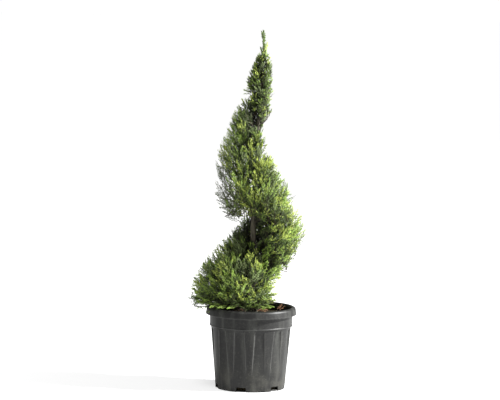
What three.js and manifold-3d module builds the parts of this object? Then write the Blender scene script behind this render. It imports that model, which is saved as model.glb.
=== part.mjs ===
// A spiral topiary: a conifer with feathery, scale-like foliage, clipped so that one ribbon of foliage winds
// up round its bare trunk, in a ribbed plastic nursery pot. Millimetres, +Z up, with the origin on the floor
// in the middle of the pot's flat underside. The ribbon climbs clockwise as seen from above.

import * as THREE from "three";
import { mergeVertices } from "three/addons/utils/BufferGeometryUtils.js";
import Module from "manifold-3d";

const wasm = await Module();
wasm.setup();

// ---------------------------------------------------------------------------------------------------------
// Driving dimensions
// ---------------------------------------------------------------------------------------------------------

const GAP = 0.3; // left between pieces that touch

// The pot, from the floor up.
const POT_HEIGHT = 287;
const RIM_RADIUS = 160; // outer edge of the skirt that hangs from the rim
const SKIRT_DEPTH = 26;
const BAND_RADIUS = 144.5; // the plain band under the rim
const BAND_DEPTH = 42;
const BODY_TOP_RADIUS = 140.5;
const BODY_FOOT_RADIUS = 121.5;
const WALL = 3;
const BASE_THICKNESS = 4;
const RIBS = 12; // upright ribs on the wall, which widen upwards
const HOLLOW_DEPTH = 4.5; // how far the wall between them is sunk at the top
const RIB_FOOT = 46; // height at which the ribs begin
const RIB_HALF_ANGLE_TOP = 9; // degrees
const RIB_HALF_ANGLE_FOOT = 4.5;
const RIB_AIM = -92; // azimuth of one rib's middle, degrees
const NOTCHES = 6; // drain notches in the foot
const NOTCH_WIDTH = 35;
const NOTCH_HEIGHT = 16;
const NOTCH_AIM = -105;

// The plant, measured up from the soil it stands in.
const SOIL_TOP = 262; // above the floor
const TRUNK_HEIGHT = 925;
const PLANT_HEIGHT = 996;
const TRUNK_LEAN = 32; // how far the tip leans towards +X
const TRUNK_FOOT_RADIUS = 14;
const TRUNK_TIP_RADIUS = 2;
const ROOT_FLARE = 7;
const ROOT_FLARE_HEIGHT = 45;

// The foliage ribbon, one row for each quarter turn from the foot of the plant up, facing +X, -Y, -X and +Y
// in turn. A row gives the height of the ribbon's edge and its reach from the trunk, the heights at which
// the foliage draws in to the trunk below and above, and the shares of the reach kept on the way there.
const RIBBON = [
  { edge: 35, reach: 92, foot: 0, under: 0.8, top: 130, over: 0.3 },
  { edge: 66, reach: 158, foot: 0, under: 0.9, top: 240, over: 0.4 },
  { edge: 90, reach: 222, foot: 0, under: 0.95, top: 290, over: 0.34 },
  { edge: 195, reach: 198, foot: 40, under: 0.6, top: 400, over: 0.3 },
  { edge: 290, reach: 194, foot: 95, under: 0.5, top: 552, over: 0.36 },
  { edge: 455, reach: 166, foot: 350, under: 0.7, top: 685, over: 0.35 },
  { edge: 530, reach: 146, foot: 322, under: 0.95, top: 780, over: 0.42 },
  { edge: 620, reach: 112, foot: 450, under: 0.6, top: 800, over: 0.4 },
  { edge: 830, reach: 34, foot: 725, under: 0.4, top: 990, over: 0.6 },
  { edge: 800, reach: 46, foot: 715, under: 0.6, top: 960, over: 0.5 },
  { edge: 745, reach: 80, foot: 690, under: 0.8, top: 935, over: 0.3 },
  { edge: 830, reach: 48, foot: 780, under: 0.7, top: 960, over: 0.5 },
  { edge: 905, reach: 32, foot: 880, under: 0.8, top: 960, over: 0.7 },
];
const FIRST_TURN = -0.2; // where the ribbon starts, in quarter turns
const RIBBON_TURNS = 8; // how many quarter turns it has under the top
const RIBBON_MASSES = 10;
const TOP_MASSES = 2; // above the ribbon, half way round the trunk each

// Sprays: flat sprigs with pointed prongs.
const SPRAY_LENGTH = 88;
const SPRAY_THICKNESS = 0.045; // of its length
const AREA_OF_SPRAY = 10000; // of a mass's outer face, for each spray
const CORE_REACH = 0.72; // how far out the tufts of a mass are rooted, as a share of its reach
const TUFT_LENGTH = 58;
const SEEDS = [81, 62, 83, 64, 65, 66, 67, 68, 69, 70, 71, 72]; // of the seeded choices, mass by mass

// Colours.
const POT_COLOUR = 0x5a5a58;
const SOIL_COLOUR = 0x2a2119;
const BARK_COLOUR = 0x5a4c3c;
const FOLIAGE_SHADE = 0x66754a;
const FOLIAGE_LIT = 0x93a55c;
const TIP_COLOUR = 0x9fae66;

// ---------------------------------------------------------------------------------------------------------
// Solids
// ---------------------------------------------------------------------------------------------------------

const lerp = THREE.MathUtils.lerp;
const clamp = THREE.MathUtils.clamp;
const radians = THREE.MathUtils.degToRad;

// A number from 0 to 1 that looks random and is the same on every run.
function chance(a, b) {
  const s = Math.sin(a * 127.1 + b * 311.7 + 1.7) * 43758.5453;
  return s - Math.floor(s);
}

function toSolid(geometry) {
  const bare = geometry.index ? geometry.toNonIndexed() : geometry;
  const placed = new THREE.BufferGeometry().setAttribute("position", bare.getAttribute("position"));
  const merged = mergeVertices(placed, 1e-3);
  return new wasm.Manifold(
    new wasm.Mesh({
      numProp: 3,
      vertProperties: merged.attributes.position.array,
      triVerts: new Uint32Array(merged.index.array),
    }),
  );
}

function toGeometry(solid) {
  const mesh = solid.getMesh();
  return new THREE.BufferGeometry()
    .setAttribute("position", new THREE.BufferAttribute(mesh.vertProperties, 3))
    .setIndex(new THREE.BufferAttribute(mesh.triVerts, 1));
}

// The largest of the bodies that a solid is made of, without its loose scraps.
function mainBody(solid) {
  return solid.decompose().reduce((a, b) => (b.volume() > a.volume() ? b : a));
}

function moveVertices(geometry, move) {
  const place = geometry.getAttribute("position");
  const point = new THREE.Vector3();
  for (let i = 0; i < place.count; i++) {
    move(point.fromBufferAttribute(place, i));
    place.setXYZ(i, point.x, point.y, point.z);
  }
  return geometry;
}

function everyVertex(geometry, test) {
  const place = geometry.getAttribute("position");
  const point = new THREE.Vector3();
  for (let i = 0; i < place.count; i++) {
    if (!test(point.fromBufferAttribute(place, i))) return false;
  }
  return true;
}

// ---------------------------------------------------------------------------------------------------------
// Pot and soil
// ---------------------------------------------------------------------------------------------------------

const SKIRT_FOOT = POT_HEIGHT - SKIRT_DEPTH;
const BAND_FOOT = SKIRT_FOOT - BAND_DEPTH;
const RIB_TOP = BAND_FOOT - 4;
const WELL_TOP_RADIUS = BODY_TOP_RADIUS - HOLLOW_DEPTH - WALL;
const WELL_FOOT_RADIUS = BODY_FOOT_RADIUS - WALL;
const MOUTH_RADIUS = BAND_RADIUS - WALL;
const OVER_RIM = POT_HEIGHT - SOIL_TOP + 3; // how high above the soil foliage clears the rim

const bodyRadius = (z) => lerp(BODY_FOOT_RADIUS, BODY_TOP_RADIUS, clamp(z / BAND_FOOT, 0, 1));

// A solid of revolution about +Z from (radius, height) points that start and end on the axis.
function turned(profile, segments) {
  const points = profile.map(([r, z]) => new THREE.Vector2(r, z));
  return new THREE.LatheGeometry(points, segments).rotateX(Math.PI / 2);
}

// The wall has five columns of vertices for each rib: its two feet, its two crests, and the middle of the
// hollow beside it. The ribs close in towards the foot, and the hollows sink more and more upwards.
const RIB_COLUMNS = [
  { share: -1.1, sunk: 1 },
  { share: -0.8, sunk: 0 },
  { share: 0.8, sunk: 0 },
  { share: 1.1, sunk: 1 },
];

function ribbedWall(geometry) {
  const pitch = (2 * Math.PI) / RIBS;
  const columns = RIB_COLUMNS.length + 1;
  return moveVertices(geometry, (p) => {
    const radius = Math.hypot(p.x, p.y);
    if (radius < 1) return;
    const column = Math.round((Math.atan2(p.y, p.x) / (2 * Math.PI)) * RIBS * columns);
    const rib = Math.floor(column / columns);
    const height = clamp((p.z - RIB_FOOT) / (RIB_TOP - RIB_FOOT), 0, 1);
    const half = radians(lerp(RIB_HALF_ANGLE_FOOT, RIB_HALF_ANGLE_TOP, height));
    const part = RIB_COLUMNS[column - rib * columns] ?? { share: pitch / 2 / half, sunk: 1 };
    const sunk = p.z < RIB_TOP - 0.1 ? part.sunk * HOLLOW_DEPTH * Math.min(1, height * 1.3) : 0;
    const angle = radians(RIB_AIM) + rib * pitch + part.share * half;
    p.x = (radius - sunk) * Math.cos(angle);
    p.y = (radius - sunk) * Math.sin(angle);
  });
}

function potSolid() {
  const ribPoint = (share) => {
    const z = lerp(RIB_FOOT, RIB_TOP, share);
    return [bodyRadius(z), z];
  };
  const outside = [
    [0, 0],
    [BODY_FOOT_RADIUS - 3, 0],
    [BODY_FOOT_RADIUS, 3],
    ribPoint(0),
    ribPoint(0.4),
    ribPoint(0.77),
    ribPoint(0.97),
    ribPoint(1),
    [BODY_TOP_RADIUS, BAND_FOOT],
    [BAND_RADIUS, BAND_FOOT + 2],
    [BAND_RADIUS + 1, SKIRT_FOOT + 14],
    [RIM_RADIUS - 6, SKIRT_FOOT + 16],
    [RIM_RADIUS - 3, SKIRT_FOOT],
    [RIM_RADIUS, SKIRT_FOOT],
    [RIM_RADIUS - 3, POT_HEIGHT - 6],
    [RIM_RADIUS - 7, POT_HEIGHT - 1],
    [RIM_RADIUS - 10, POT_HEIGHT],
    [0, POT_HEIGHT],
  ];
  const well = [
    [0, BASE_THICKNESS],
    [WELL_FOOT_RADIUS - 2, BASE_THICKNESS],
    [WELL_FOOT_RADIUS, BASE_THICKNESS + 2],
    [WELL_TOP_RADIUS, BAND_FOOT - 1],
    [MOUTH_RADIUS, BAND_FOOT + 5],
    [MOUTH_RADIUS, POT_HEIGHT - 3],
    [MOUTH_RADIUS + 3.5, POT_HEIGHT + 1],
    [0, POT_HEIGHT + 1],
  ];
  let pot = toSolid(ribbedWall(turned(outside, RIBS * (RIB_COLUMNS.length + 1))));
  pot = pot.subtract(toSolid(turned(well, 48)));
  for (let i = 0; i < NOTCHES; i++) {
    const notch = new THREE.BoxGeometry(8, NOTCH_WIDTH, 2 * NOTCH_HEIGHT);
    notch.translate(BODY_FOOT_RADIUS, 0, 0);
    notch.rotateZ(radians(NOTCH_AIM + (i * 360) / NOTCHES));
    pot = pot.subtract(toSolid(notch));
  }
  return mainBody(pot);
}

// The soil fills the pot. It is level round the trunk and uneven towards the wall.
function soilSolid() {
  const inset = GAP + 0.4;
  const profile = [
    [0, BASE_THICKNESS + GAP],
    [WELL_FOOT_RADIUS - 2 - inset, BASE_THICKNESS + GAP],
    [WELL_FOOT_RADIUS - inset, BASE_THICKNESS + 2 + inset],
    [WELL_TOP_RADIUS - inset, BAND_FOOT - 1],
    [MOUTH_RADIUS - inset, BAND_FOOT + 5 + inset],
    [MOUTH_RADIUS - inset, SOIL_TOP - 5],
    [112, SOIL_TOP],
    [72, SOIL_TOP],
    [36, SOIL_TOP],
    [0, SOIL_TOP],
  ];
  return moveVertices(turned(profile, 36), (p) => {
    if (p.z < SOIL_TOP - 1 || Math.hypot(p.x, p.y) < 50) return;
    p.z -= 5 * chance(Math.round(p.x), Math.round(p.y));
  });
}

// ---------------------------------------------------------------------------------------------------------
// Trunk
// ---------------------------------------------------------------------------------------------------------

// The trunk's middle at a height above the soil: upright at first, then leaning more and more.
function trunkMiddle(height) {
  const share = height / PLANT_HEIGHT;
  return new THREE.Vector3(TRUNK_LEAN * share * share, 2.5 * Math.sin(share * 7), height);
}

// Its radius tapers to the tip and swells into the roots at the soil.
function trunkRadius(height) {
  const share = clamp(height / TRUNK_HEIGHT, 0, 1);
  const flare = ROOT_FLARE * Math.pow(clamp(1 - height / ROOT_FLARE_HEIGHT, 0, 1), 2);
  return lerp(TRUNK_FOOT_RADIUS, TRUNK_TIP_RADIUS, Math.pow(share, 0.85)) + flare;
}

// The trunk is a stack of level rings, closer together near its foot. With an allowance it is the room the
// trunk needs, which the foliage and the boughs are cut clear of.
function trunkSolid(allowance) {
  const geometry = new THREE.CylinderGeometry(1, 1, 1, 10, 16);
  moveVertices(geometry, (p) => {
    const along = p.y + 0.5;
    const height = TRUNK_HEIGHT * Math.pow(along, 1.6);
    const roots = 0.16 * clamp(1 - height / ROOT_FLARE_HEIGHT, 0, 1) * Math.cos(3 * Math.atan2(p.x, p.z));
    const radius = trunkRadius(height) * (1 + roots) + 1.05 * allowance;
    const ends = along < 0.01 ? GAP - allowance : along > 0.99 ? allowance : 0;
    p.set(p.z * radius, p.x * radius, ends).add(trunkMiddle(height));
  });
  return toSolid(geometry);
}

// ---------------------------------------------------------------------------------------------------------
// The room each mass of foliage may fill
// ---------------------------------------------------------------------------------------------------------

// The ribbon's sizes between two quarter turns.
function ribbonAt(turn) {
  const place = clamp(turn, 0, RIBBON.length - 1);
  const row = Math.min(Math.floor(place), RIBBON.length - 2);
  const share = THREE.MathUtils.smoothstep(place - row, 0, 1);
  const between = (size) => lerp(RIBBON[row][size], RIBBON[row + 1][size], share);
  return {
    edge: between("edge"),
    reach: between("reach"),
    foot: between("foot"),
    under: between("under"),
    top: between("top"),
    over: between("over"),
  };
}

// How far foliage reaches from the trunk at a height. Over the pot it does not draw in.
function reachAt(turn, height) {
  const { edge, reach, foot, under, top, over } = ribbonAt(turn);
  const off = clamp(height > edge ? (height - edge) / (top - edge) : (edge - height) / (edge - foot), 0, 1);
  const drawnIn = height < edge && foot < 60 ? 1 : Math.sqrt(1 - Math.pow(off, 8));
  return reach * lerp(1, height > edge ? over : under, Math.pow(off, 1.3)) * drawnIn;
}

// The height at which a turn of the ribbon ends and the next one, a whole turn on, begins.
function boundary(turn) {
  if (turn > RIBBON.length - 4) return TRUNK_HEIGHT;
  return 0.5 * (ribbonAt(turn).top + ribbonAt(turn + 4).foot);
}

// The lowest and highest that foliage may stand at a quarter turn.
const floorAt = (turn) => Math.max(ribbonAt(turn).foot, turn > 4 ? boundary(turn - 4) + 4 : OVER_RIM);
const roofAt = (turn) => Math.min(ribbonAt(turn).top, boundary(turn) - 6, TRUNK_HEIGHT - 6);

// A place by quarter turns round the trunk, distance from its middle, and height.
function pointAt(turn, radius, height) {
  const azimuth = (-turn * Math.PI) / 2;
  const out = new THREE.Vector3(Math.cos(azimuth), Math.sin(azimuth), 0);
  return trunkMiddle(height).addScaledVector(out, radius);
}

// A point's distance from the trunk's middle, its quarter turn, and how far that is past a mass's own.
function placeOf(point, mass) {
  const middle = trunkMiddle(point.z);
  const [x, y] = [point.x - middle.x, point.y - middle.y];
  const past = (-Math.atan2(y, x) * 2) / Math.PI - mass.turn;
  const off = past - 4 * Math.round(past / 4);
  return { radius: Math.hypot(x, y), turn: mass.turn + off, off };
}

// Foliage keeps above the soil near the trunk, and above the rim further out.
function clearOfPot(point) {
  return point.z > (Math.hypot(point.x, point.y) > 64 ? OVER_RIM : 5);
}

function inRoom(point, mass, proud = 0) {
  const { radius, turn, off } = placeOf(point, mass);
  const toSide = radius * Math.sin(Math.min(1, mass.half - Math.abs(off)) * (Math.PI / 2));
  if (Math.abs(off) > mass.half || toSide < 0.9) return false;
  if (radius < trunkRadius(point.z) + 2.5) return false;
  if (radius > 1.06 * reachAt(turn, point.z) + 3 + proud) return false;
  if (point.z > Math.min(boundary(turn), TRUNK_HEIGHT) - 2) return false;
  if (turn > 4 && point.z < boundary(turn - 4) + 2) return false;
  return clearOfPot(point);
}

// ---------------------------------------------------------------------------------------------------------
// Limbs
// ---------------------------------------------------------------------------------------------------------

// A stretch of a curve, between two shares of its length.
class Stretch extends THREE.Curve {
  constructor(whole, from, to) {
    super();
    this.whole = whole;
    this.from = from;
    this.to = to;
  }
  getPoint(t, target = new THREE.Vector3()) {
    return this.whole.getPointAt(lerp(this.from, this.to, t), target);
  }
}

// A tapering limb: a closed cylinder whose rings are laid square across a curve.
function limb(curve, startRadius, endRadius, sides, steps) {
  const frames = curve.computeFrenetFrames(steps, false);
  return moveVertices(new THREE.CylinderGeometry(1, 1, 1, sides, steps), (p) => {
    const along = p.y + 0.5;
    const ring = Math.round(along * steps);
    const radius = lerp(startRadius, endRadius, along);
    const across = frames.normals[ring].clone().multiplyScalar(p.z * radius);
    across.addScaledVector(frames.binormals[ring], p.x * radius);
    p.copy(curve.getPointAt(along)).add(across);
  });
}

// The limb of a mass runs up and out from the trunk, and then up through the mass. Its first stretch is the
// bough, and the rest, from just past the bough's tip, is the stem.
function limbCurve(turn, sizes, roof) {
  const out = 0.5 * sizes.reach;
  const start = Math.max(12, sizes.foot + 14, sizes.edge - 0.75 * out);
  const level = Math.max(sizes.edge, start + 0.3 * out);
  const high = Math.min(lerp(sizes.edge, sizes.top, 0.45), roof - 40);
  return new THREE.CatmullRomCurve3([
    trunkMiddle(start),
    pointAt(turn, 0.55 * out, lerp(start, sizes.edge, 0.42)),
    pointAt(turn, out, level),
    pointAt(turn, 0.62 * out, Math.max(high, level + 20)),
  ]);
}

// ---------------------------------------------------------------------------------------------------------
// Sprays
// ---------------------------------------------------------------------------------------------------------

// One side of a spray's outline from root to tip, as shares of its length along it and across it.
const SPRAY_SIDE = [
  [0, 0.02],
  [0.5, 0.24],
  [0.47, 0.08],
  [0.78, 0.17],
  [0.68, 0.055],
];
const SPRIG_SIDE = [
  [0, 0.022],
  [0.6, 0.15],
  [0.52, 0.055],
];

// A spray is two fans of faces, from a raised point on either side out to its pronged edge. It arches about
// its width, and its direction and its flat side's facing are square to each other.
function spray(root, direction, facing, length, side) {
  const mirror = (sign) => side.map(([x, y]) => [x, sign * y]);
  const edge = [...mirror(-1), [1, 0], ...mirror(1).reverse()];
  const place = ([x, y], lift = 0) => {
    return new THREE.Vector3(x * length, y * length, (lift + 0.1 * Math.sin(Math.PI * x)) * length);
  };
  const upper = place([0.38, 0], 0.5 * SPRAY_THICKNESS);
  const lower = place([0.38, 0], -0.5 * SPRAY_THICKNESS);
  const corners = [];
  edge.forEach((here, i) => {
    const [a, b] = [place(here), place(edge[(i + 1) % edge.length])];
    corners.push(upper, a, b, lower, b, a);
  });
  const basis = new THREE.Matrix4().makeBasis(direction, facing.clone().cross(direction), facing);
  return new THREE.BufferGeometry().setFromPoints(corners).applyMatrix4(basis.setPosition(root));
}

// A spray's aim: level low on its mass, and rising more and more towards the top. Its flat side faces up
// where it lies level, and outwards where it stands.
function sprayAim(turn, up, seed) {
  const rise = radians(lerp(-6, 76, Math.pow(up, 0.55)) + 18 * (chance(seed, 3) - 0.5));
  const azimuth = (-turn * Math.PI) / 2 + 0.7 * (chance(seed, 4) - 0.5);
  const out = new THREE.Vector3(Math.cos(azimuth), Math.sin(azimuth), 0);
  const direction = out.clone().multiplyScalar(Math.cos(rise));
  direction.z = Math.sin(rise);
  const facing = out.multiplyScalar(-Math.sin(rise));
  facing.z = Math.cos(rise);
  return { direction, facing: facing.applyAxisAngle(direction, 1.6 * (chance(seed, 5) - 0.5)) };
}

// ---------------------------------------------------------------------------------------------------------
// Masses of foliage
// ---------------------------------------------------------------------------------------------------------

function massAt(turn, half, seed, isTop) {
  const sizes = ribbonAt(turn);
  const [low, roof] = [floorAt(turn), roofAt(turn)];
  const thin = turn > 5.4 && turn < 7; // its lower half has no core
  const width = Math.min(half, 0.7) * Math.PI * sizes.reach * 0.8;
  return {
    turn,
    half,
    seed,
    isTop,
    sizes,
    roof,
    low,
    thin,
    curve: limbCurve(turn, sizes, roof),
    boughShare: isTop ? 0 : 0.24,
    radius: clamp(0.45 * trunkRadius(low), 2.2, 6.5),
    columns: 2 * Math.round(clamp(sizes.reach / 20, 4, 8)),
    rows: 2 * Math.round(clamp((roof - low) / 52, 4, 8)),
    sprays: Math.round((width * (roof - low)) / AREA_OF_SPRAY) + (thin ? 9 : 3),
    sprayLength: SPRAY_LENGTH * clamp(0.35 + sizes.reach / 240, 0.5, 1),
  };
}

// The leafy core of a mass is a smaller copy of the room that the mass may fill. It spans these heights, and
// its sizes at a height are its inner and outer distances from the trunk's middle.
function coreSpan(turn, { thin }) {
  const [floor, roof] = [floorAt(turn), roofAt(turn)];
  const edge = clamp(ribbonAt(turn).edge, lerp(floor, roof, 0.2), roof);
  return [lerp(floor, edge, thin ? 0.9 : 0.12), lerp(edge, roof, 0.86)];
}

function coreSizes(turn, height) {
  const inner = trunkRadius(height) + 4;
  return [inner, Math.max(inner + 8, CORE_REACH * reachAt(turn, height))];
}

// It is made from a sphere whose sides are squared up by raising its coordinates to a power. Every second
// corner of every second row is drawn out into a tuft, as far as the mass's room goes.
const CORE_POWER = 0.65;
const CORE_BREADTH = 0.92; // of the mass's

function tuftTip(foot, turn, up, mass, seed) {
  const azimuth = (-turn * Math.PI) / 2 + 0.6 * (chance(seed, 8) - 0.5);
  const rise = radians(lerp(0, 62, Math.sqrt(up)) + 14 * (chance(seed, 9) - 0.5));
  const flat = Math.cos(rise);
  const aim = new THREE.Vector3(Math.cos(azimuth) * flat, Math.sin(azimuth) * flat, Math.sin(rise));
  const longest = TUFT_LENGTH * (0.8 + 0.4 * chance(seed, 10));
  for (let length = longest; length > 8; length -= 6) {
    const tip = foot.clone().addScaledVector(aim, length);
    if (inRoom(tip, mass)) return tip;
  }
  return foot;
}

function coreGeometry(mass) {
  const { columns, rows } = mass;
  const squared = (x) => Math.sign(x) * Math.pow(Math.abs(x), CORE_POWER);
  const core = new THREE.SphereGeometry(1, columns, rows).rotateX(Math.PI / 2);
  return moveVertices(core, (p) => {
    const row = Math.round((Math.acos(clamp(p.z, -1, 1)) / Math.PI) * rows);
    const atPole = row % rows === 0;
    const around = Math.round((Math.atan2(p.y, p.x) / (2 * Math.PI) + 1) * columns);
    const column = atPole ? 0 : around % columns;
    const [down, angle] = [(row / rows) * Math.PI, (column / columns) * 2 * Math.PI];
    const [x, y, z] = [Math.sin(down) * Math.cos(angle), Math.sin(down) * Math.sin(angle), Math.cos(down)];
    const seed = mass.seed * 1000 + row * 20 + column;
    const lump = 0.9 + 0.2 * chance(seed, 11);
    const turn = mass.turn - CORE_BREADTH * mass.half * squared(y);
    const [low, high] = coreSpan(turn, mass);
    const height = lerp(low, high, 0.5 + 0.5 * z);
    const [inner, outer] = coreSizes(turn, height);
    p.copy(pointAt(turn, lerp(inner, outer * lump, 0.5 + 0.5 * squared(x)), height));
    const drawnOut = row % 2 === 1 && (column + (row - 1) / 2) % 2 === 0 && x > -0.35 && z > -0.95;
    if (drawnOut) p.copy(tuftTip(p, turn, 0.5 + 0.5 * z, mass, seed));
  });
}

function inCore(point, mass) {
  const { radius, turn, off } = placeOf(point, mass);
  const [low, high] = coreSpan(turn, mass);
  const [inner, outer] = coreSizes(turn, point.z);
  const x = (2 * (radius - inner)) / (outer - inner) - 1;
  const y = off / (CORE_BREADTH * mass.half);
  const z = (2 * (point.z - low)) / (high - low) - 1;
  return Math.pow(x * x, 1 / CORE_POWER) + Math.pow(y * y, 1 / CORE_POWER) + z * z < 0.72;
}

// One mass: its core, its stem, and sprays whose tips are spread over its outer face by a seeded rule. A
// spray that would leave the room is tried again shorter and nearer the middle, and then left out. One whose
// root is clear of the core has a twig to it from the stem.
function massSolid(mass, limbRoom) {
  const stem = new Stretch(mass.curve, mass.boughShare + GAP / mass.curve.getLength(), 1);
  const pieces = [toSolid(limb(stem, 0.6 * mass.radius, 1.4, 5, 3)), toSolid(coreGeometry(mass))];
  const [stemLow, stemHigh] = [stem.getPointAt(0).z, stem.getPointAt(1).z];
  for (let i = 0; i < mass.sprays; i++) {
    const seed = mass.seed * 100 + i;
    const up = Math.pow((i + 0.5) / mass.sprays, mass.thin ? 1.6 : 1.1);
    for (const near of [1, 0.9, 0.78, 0.62, 0.45, 0.3]) {
      const across = ((chance(mass.seed, 1) + i * 0.618034) % 1) * 2 - 1;
      const turn = mass.turn + across * mass.half * 0.95 * near;
      const sizes = ribbonAt(turn);
      const height = lerp(floorAt(turn) + 4, roofAt(turn) - 4, up);
      const reach = reachAt(turn, height);
      const proud = chance(seed, 6) > 0.86 ? 0.11 * reach : 0;
      const length = mass.sprayLength * (0.4 + 0.6 * near) * (0.8 + 0.4 * chance(seed, 2)) + proud;
      const lowness = clamp((height - sizes.foot) / (sizes.top - sizes.foot), 0, 1);
      const { direction, facing } = sprayAim(turn, lowness, seed);
      const root = pointAt(turn, reach + proud, height).addScaledVector(direction, -length);
      const side = Math.abs(across * near) > 0.8 || i % 3 === 0 ? SPRIG_SIDE : SPRAY_SIDE;
      const blade = spray(root, direction, facing, length, side);
      if (!everyVertex(blade, (p) => inRoom(p, mass, proud))) continue;
      pieces.push(toSolid(blade));
      if (inCore(root, mass)) break;
      const { radius } = placeOf(root, mass);
      const from = stem.getPointAt(clamp((root.z - 0.5 * radius - stemLow) / (stemHigh - stemLow), 0, 1));
      const into = root.clone().addScaledVector(direction, 0.08 * length);
      pieces.push(toSolid(limb(new THREE.LineCurve3(from, into), 2.2, 1.6, 3, 1)));
      break;
    }
  }
  return mainBody(wasm.Manifold.union(pieces).subtract(limbRoom).simplify(0.8));
}

// The uncut leader stands on the trunk's tip.
function leaderSolid() {
  const foot = trunkMiddle(TRUNK_HEIGHT + GAP);
  const bend = new THREE.Vector3(-3, 0, PLANT_HEIGHT - TRUNK_HEIGHT - 22);
  const stemAt = (share) => foot.clone().addScaledVector(bend, share);
  const stem = new THREE.LineCurve3(stemAt(0), stemAt(1));
  const pieces = [toSolid(limb(stem, TRUNK_TIP_RADIUS * 0.95, 0.9, 5, 1))];
  const tip = spray(stemAt(0.85), new THREE.Vector3(0, 0, 1), new THREE.Vector3(0, 1, 0), 30, SPRIG_SIDE);
  pieces.push(toSolid(tip));
  for (let i = 0; i < 5; i++) {
    const { direction, facing } = sprayAim(0.7 + i * 1.53, 0.86, i + 900);
    pieces.push(toSolid(spray(stemAt(0.1 + i * 0.16), direction, facing, 42 - 4 * i, SPRIG_SIDE)));
  }
  return mainBody(wasm.Manifold.union(pieces));
}

// ---------------------------------------------------------------------------------------------------------
// The whole topiary
// ---------------------------------------------------------------------------------------------------------

const topiary = new THREE.Group();

function add(name, geometry, color, roughness, height = 0) {
  const material = new THREE.MeshStandardMaterial({ color, roughness, metalness: 0 });
  const mesh = new THREE.Mesh(geometry, material);
  mesh.name = name;
  mesh.position.z = height;
  topiary.add(mesh);
}

add("pot", toGeometry(potSolid()), POT_COLOUR, 0.55);
add("soil", soilSolid(), SOIL_COLOUR, 0.95);
add("trunk", toGeometry(trunkSolid(0)), BARK_COLOUR, 0.9, SOIL_TOP);
add("leader", toGeometry(leaderSolid()), TIP_COLOUR, 0.8, SOIL_TOP);

const trunkRoom = trunkSolid(GAP);
for (let i = 0; i < RIBBON_MASSES + TOP_MASSES; i++) {
  const onTop = i - RIBBON_MASSES;
  const isTop = onTop >= 0;
  const half = isTop ? 2 / TOP_MASSES : RIBBON_TURNS / RIBBON_MASSES / 2;
  const turn = FIRST_TURN + half + 2 * half * (isTop ? onTop : i) + (isTop ? RIBBON_TURNS : 0);
  const mass = massAt(turn, half, SEEDS[i], isTop);
  const number = String(i + 1).padStart(2, "0");
  let limbRoom = trunkRoom;
  if (!isTop) {
    const stretch = new Stretch(mass.curve, 0, mass.boughShare);
    const bough = toSolid(limb(stretch, mass.radius, 0.65 * mass.radius, 6, 3));
    limbRoom = limbRoom.add(toSolid(limb(stretch, mass.radius + 0.5, 0.65 * mass.radius + 0.5, 6, 3)));
    add(`bough_${number}`, toGeometry(mainBody(bough.subtract(trunkRoom))), BARK_COLOUR, 0.9, SOIL_TOP);
  }
  const lit = 0.5 + 0.5 * Math.cos((turn * Math.PI) / 2 - 0.6);
  const color = new THREE.Color(FOLIAGE_SHADE).lerp(new THREE.Color(FOLIAGE_LIT), lit);
  add(`foliage_${number}`, toGeometry(massSolid(mass, limbRoom)), color, 0.8, SOIL_TOP);
}

export default topiary;
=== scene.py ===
"""A spiral topiary in a nursery pot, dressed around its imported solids.

Shapes are worked out in millimetres, in the solids' own frame. Their meshes are in metres.
"""

import bpy
import numpy as np
from mathutils import Matrix, Vector


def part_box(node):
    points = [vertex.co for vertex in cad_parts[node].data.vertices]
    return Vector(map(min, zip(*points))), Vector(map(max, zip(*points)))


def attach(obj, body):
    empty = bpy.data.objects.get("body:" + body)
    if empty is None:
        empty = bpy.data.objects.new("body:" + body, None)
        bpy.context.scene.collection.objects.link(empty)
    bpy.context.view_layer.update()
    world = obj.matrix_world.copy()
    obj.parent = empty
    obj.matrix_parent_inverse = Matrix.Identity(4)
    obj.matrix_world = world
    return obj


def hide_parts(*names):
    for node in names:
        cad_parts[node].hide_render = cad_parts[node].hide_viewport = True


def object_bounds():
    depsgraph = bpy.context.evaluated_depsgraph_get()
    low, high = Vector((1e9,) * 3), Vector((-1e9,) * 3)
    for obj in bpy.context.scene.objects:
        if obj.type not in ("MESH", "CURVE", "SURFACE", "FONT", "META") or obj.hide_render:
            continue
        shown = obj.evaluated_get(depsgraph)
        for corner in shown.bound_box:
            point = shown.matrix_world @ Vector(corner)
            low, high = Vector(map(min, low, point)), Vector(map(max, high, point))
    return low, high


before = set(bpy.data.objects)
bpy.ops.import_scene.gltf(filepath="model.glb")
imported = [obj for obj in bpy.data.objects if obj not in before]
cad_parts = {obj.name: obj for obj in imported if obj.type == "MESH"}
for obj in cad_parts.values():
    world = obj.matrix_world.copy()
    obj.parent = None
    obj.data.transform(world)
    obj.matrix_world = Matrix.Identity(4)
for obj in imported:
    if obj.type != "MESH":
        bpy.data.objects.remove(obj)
cad_low, cad_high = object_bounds()
scene = bpy.context.scene


# --------------------------------------------------
# Pot. A nursery pot of dark grey polypropylene, injection moulded in one shot: a tapering ribbed wall under
# a plain band, a rim that hangs down as a skirt for lifting, and drain notches round the foot.

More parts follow.
